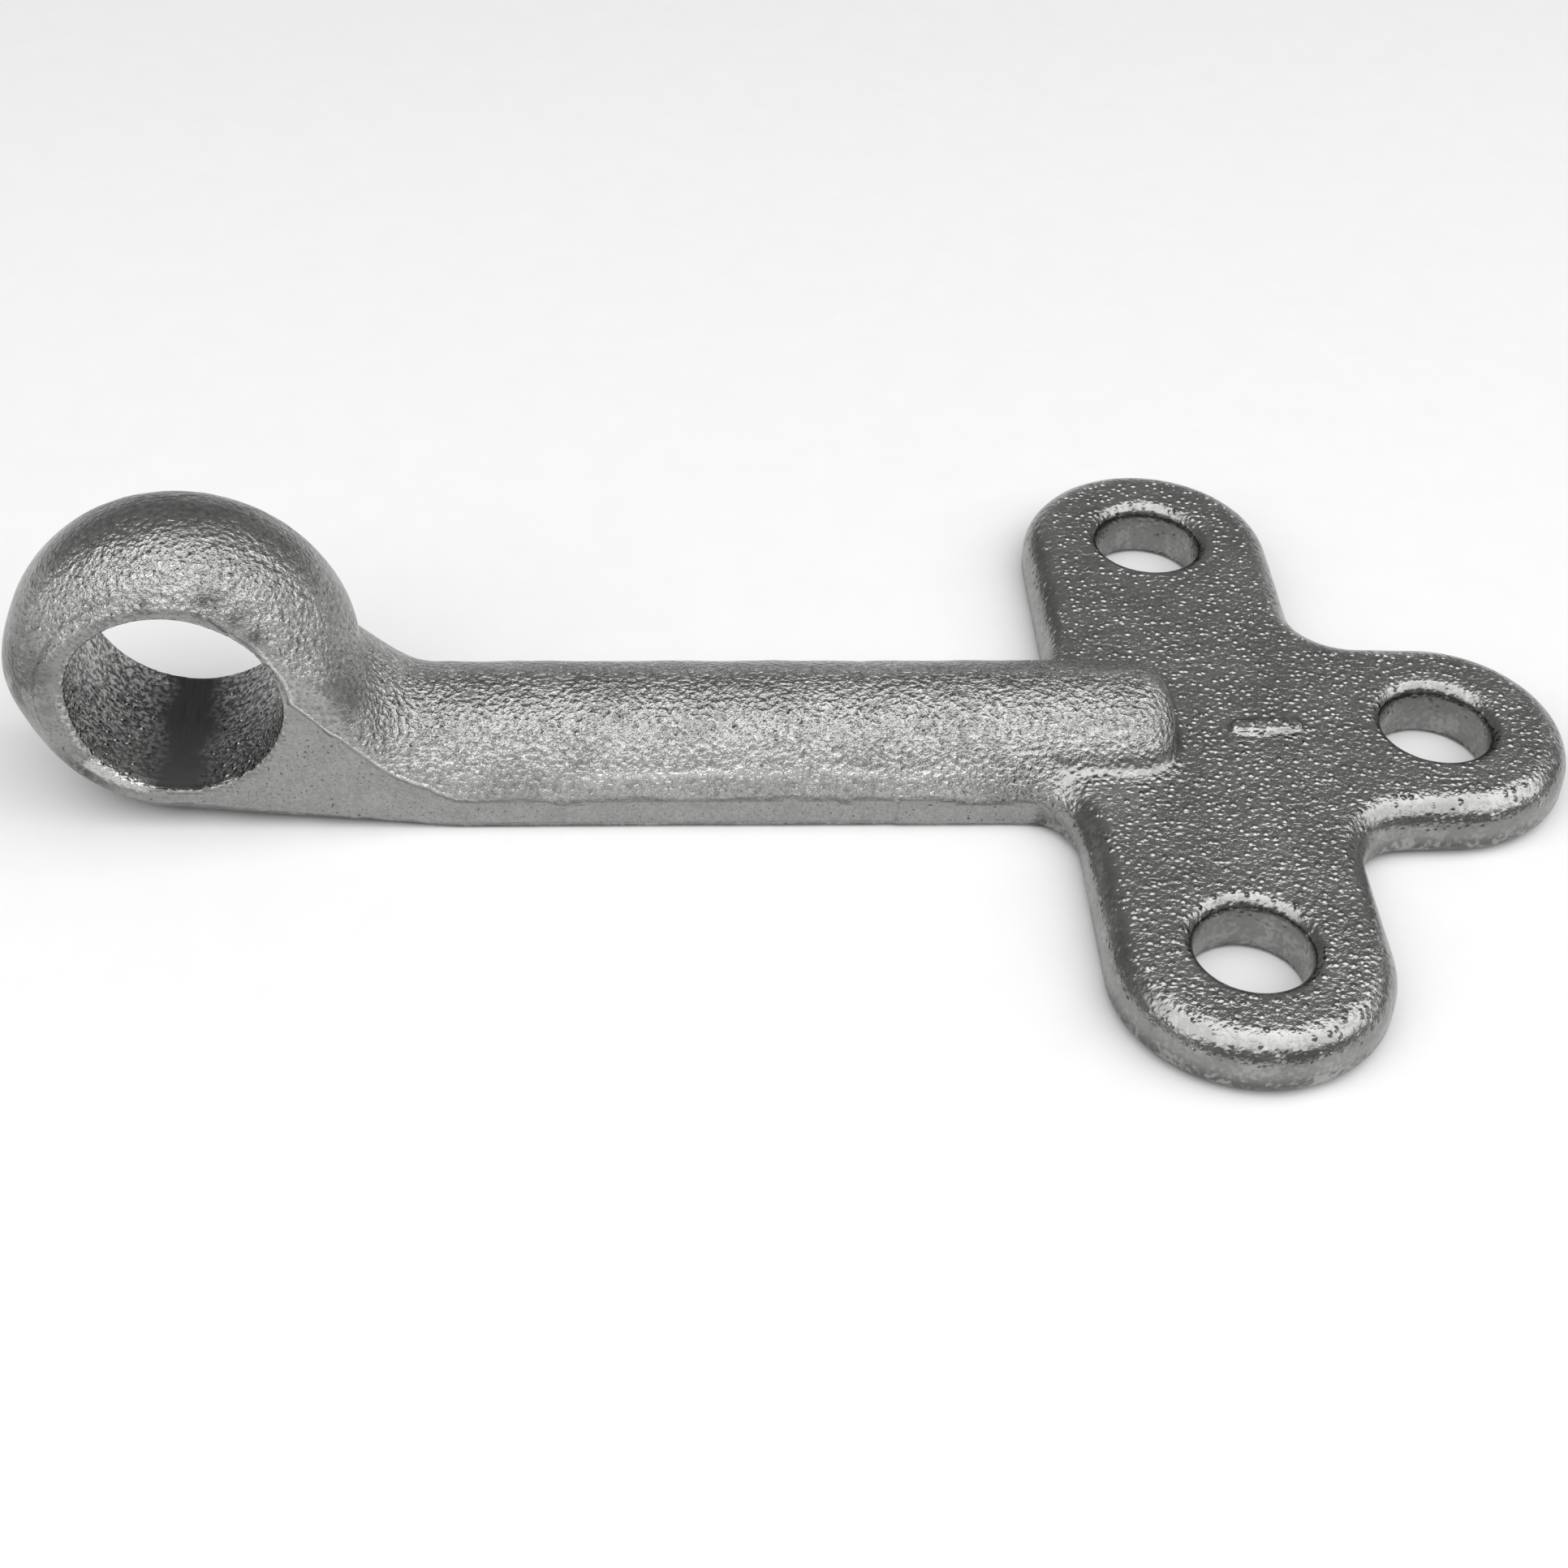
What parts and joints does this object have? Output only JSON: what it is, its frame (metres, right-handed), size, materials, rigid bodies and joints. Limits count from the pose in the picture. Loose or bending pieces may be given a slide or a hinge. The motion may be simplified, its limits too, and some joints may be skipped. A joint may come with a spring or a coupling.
{
  "type": "forged eye bracket",
  "caption": "One-piece galvanised eye bracket: a crosswise pin eye on a D-section shank that ends in a flat cross-shaped foot with bolt holes in its lugs.",
  "frame": {"origin": "on the mounting face, midway between the two side lugs' holes", "axes": "+X along the shank from the eye to the tip lug, +Y across the foot and along the eye's bore, +Z out of the mounting face"},
  "size_m": [0.1533, 0.0888, 0.0316],
  "materials": {
    "galvanised_steel": "hot-dip galvanised, rough as forged, smooth where trimmed"
  },
  "bodies": {
    "root": {"eye_bracket": "galvanised_steel"}
  },
  "joints": []
}
